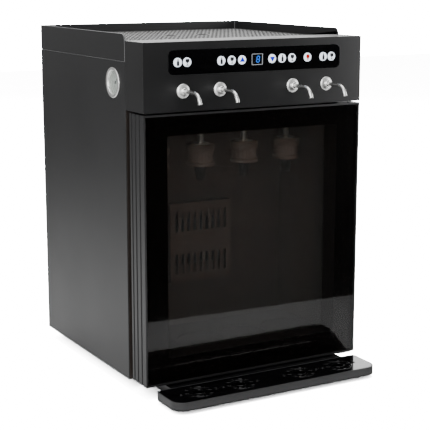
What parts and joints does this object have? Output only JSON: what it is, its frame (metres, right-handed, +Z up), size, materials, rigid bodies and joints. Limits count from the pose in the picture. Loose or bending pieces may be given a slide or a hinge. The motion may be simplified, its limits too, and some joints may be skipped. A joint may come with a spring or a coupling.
{
  "type": "wine cooler",
  "caption": "Countertop wine dispenser: a cooled glass-door chamber for upright bottles under a hood with push keys, spouts and a display, over a drip tray.",
  "frame": {"origin": "on the counter, at the middle of the footprint", "axes": "+Z up, the door and the spouts face -Y, +X to the right of someone in front"},
  "size_m": [0.4016, 0.5098, 0.5735],
  "materials": {
    "black_paint": "satin black powder coat",
    "gloss_black": "high gloss",
    "black_plastic": "fine satin",
    "dark_liner": "satin",
    "tinted_glass": "gloss, dark tint",
    "clear_glass": "gloss",
    "chrome": "polished",
    "steel_deck": "perforated, satin",
    "aluminium": "mill finish",
    "rubber": "matte",
    "grey_plastic": "satin",
    "white_key": "backlit white",
    "board_green": "solder resist",
    "foam": "foam",
    "blue_display": "backlit display window",
    "light_diffuser": "frosted"
  },
  "bodies": {
    "cabinet": {"base_plate": "black_paint", "bottle_mat": "rubber", "cold_sink": "aluminium", "control_board": "board_green", "control_panel": "gloss_black", "display_module": "blue_display", "duct_cover": "dark_liner", "fan_frame": "black_plastic", "foot_front_left": "rubber", "foot_front_right": "rubber", "foot_rear_left": "rubber", "foot_rear_right": "rubber", "gallery_rail": "black_paint", "gas_inlet": "chrome", "gauge_case": "chrome", "gauge_lens": "clear_glass", "head_rail": "black_plastic", "hood_shell": "black_paint", "hot_sink": "aluminium", "inner_liner": "dark_liner", "insulation": "foam", "left_side_panel": "black_paint", "light_strip": "light_diffuser", "lower_hinge": "aluminium", "power_inlet": "black_plastic", "power_supply": "aluminium", "rear_panel": "black_paint", "right_side_panel": "black_paint", "service_shelf": "aluminium", "spout_1": "chrome", "spout_2": "chrome", "spout_3": "chrome", "spout_4": "chrome", "upper_hinge": "aluminium", "valve_block": "aluminium"},
    "door": {"door_frame": "black_plastic", "door_outer_glass": "tinted_glass", "door_inner_glass": "clear_glass", "door_gasket": "rubber"},
    "tray": {"drip_tray": "black_paint", "tray_rim": "black_paint"},
    "tray_cover": {"drip_cover": "gloss_black"},
    "deck": {"top_grille": "steel_deck"},
    "fan": {"fan_rotor": "black_plastic"},
    "needle": {"gauge_needle": "rubber"},
    "bottle_key_1": {"bottle_key_1": "white_key"},
    "glass_key_1": {"glass_key_1": "white_key"},
    "bottle_key_2": {"bottle_key_2": "white_key"},
    "glass_key_2": {"glass_key_2": "white_key"},
    "up_key": {"up_key": "white_key"},
    "down_key": {"down_key": "white_key"},
    "bottle_key_3": {"bottle_key_3": "white_key"},
    "glass_key_3": {"glass_key_3": "white_key"},
    "light_key": {"light_key": "white_key"},
    "bottle_key_4": {"bottle_key_4": "white_key"},
    "glass_key_4": {"glass_key_4": "white_key"},
    "head_1": {"dispensing_head_1": "grey_plastic"},
    "head_2": {"dispensing_head_2": "grey_plastic"},
    "head_3": {"dispensing_head_3": "grey_plastic"},
    "head_4": {"dispensing_head_4": "grey_plastic"}
  },
  "joints": [
    {"name": "door_hinge", "type": "hinge", "parent": "cabinet", "child": "door", "pos_m": [0.188, -0.15745, 0.0225], "axis": [0, 0, 1], "range_deg": [0, 110]},
    {"name": "tray_slide", "type": "slide", "parent": "cabinet", "child": "tray", "axis": [0, -1, 0], "range_m": [0, 0.075]},
    {"name": "tray_cover_lift", "type": "slide", "parent": "tray", "child": "tray_cover", "axis": [0, 0, 1], "range_m": [0, 0.06]},
    {"name": "deck_lift", "type": "slide", "parent": "cabinet", "child": "deck", "axis": [0, 0, 1], "range_m": [0, 0.08]},
    {"name": "fan_spin", "type": "hinge", "parent": "cabinet", "child": "fan", "pos_m": [0, 0.10495, 0.203], "axis": [0, 1, 0], "continuous": true},
    {"name": "needle_turn", "type": "hinge", "parent": "cabinet", "child": "needle", "pos_m": [-0.1956, -0.06345, 0.4955], "axis": [1, 0, 0], "range_deg": [-180, 90]},
    {"name": "bottle_key_1_press", "type": "slide", "parent": "cabinet", "child": "bottle_key_1", "axis": [0, 1, 0], "range_m": [0, 0.0008], "stiffness_N_per_m": 300, "springref_m": -0.001},
    {"name": "glass_key_1_press", "type": "slide", "parent": "cabinet", "child": "glass_key_1", "axis": [0, 1, 0], "range_m": [0, 0.0008], "stiffness_N_per_m": 300, "springref_m": -0.001},
    {"name": "bottle_key_2_press", "type": "slide", "parent": "cabinet", "child": "bottle_key_2", "axis": [0, 1, 0], "range_m": [0, 0.0008], "stiffness_N_per_m": 300, "springref_m": -0.001},
    {"name": "glass_key_2_press", "type": "slide", "parent": "cabinet", "child": "glass_key_2", "axis": [0, 1, 0], "range_m": [0, 0.0008], "stiffness_N_per_m": 300, "springref_m": -0.001},
    {"name": "up_key_press", "type": "slide", "parent": "cabinet", "child": "up_key", "axis": [0, 1, 0], "range_m": [0, 0.0008], "stiffness_N_per_m": 300, "springref_m": -0.001},
    {"name": "down_key_press", "type": "slide", "parent": "cabinet", "child": "down_key", "axis": [0, 1, 0], "range_m": [0, 0.0008], "stiffness_N_per_m": 300, "springref_m": -0.001},
    {"name": "bottle_key_3_press", "type": "slide", "parent": "cabinet", "child": "bottle_key_3", "axis": [0, 1, 0], "range_m": [0, 0.0008], "stiffness_N_per_m": 300, "springref_m": -0.001},
    {"name": "glass_key_3_press", "type": "slide", "parent": "cabinet", "child": "glass_key_3", "axis": [0, 1, 0], "range_m": [0, 0.0008], "stiffness_N_per_m": 300, "springref_m": -0.001},
    {"name": "light_key_press", "type": "slide", "parent": "cabinet", "child": "light_key", "axis": [0, 1, 0], "range_m": [0, 0.0008], "stiffness_N_per_m": 300, "springref_m": -0.001},
    {"name": "bottle_key_4_press", "type": "slide", "parent": "cabinet", "child": "bottle_key_4", "axis": [0, 1, 0], "range_m": [0, 0.0008], "stiffness_N_per_m": 300, "springref_m": -0.001},
    {"name": "glass_key_4_press", "type": "slide", "parent": "cabinet", "child": "glass_key_4", "axis": [0, 1, 0], "range_m": [0, 0.0008], "stiffness_N_per_m": 300, "springref_m": -0.001},
    {"name": "head_1_lift", "type": "slide", "parent": "cabinet", "child": "head_1", "axis": [0, 0, 1], "range_m": [0, 0.027], "stiffness_N_per_m": 150, "springref_m": -0.01},
    {"name": "head_2_lift", "type": "slide", "parent": "cabinet", "child": "head_2", "axis": [0, 0, 1], "range_m": [0, 0.027], "stiffness_N_per_m": 150, "springref_m": -0.01},
    {"name": "head_3_lift", "type": "slide", "parent": "cabinet", "child": "head_3", "axis": [0, 0, 1], "range_m": [0, 0.027], "stiffness_N_per_m": 150, "springref_m": -0.01},
    {"name": "head_4_lift", "type": "slide", "parent": "cabinet", "child": "head_4", "axis": [0, 0, 1], "range_m": [0, 0.027], "stiffness_N_per_m": 150, "springref_m": -0.01}
  ]
}
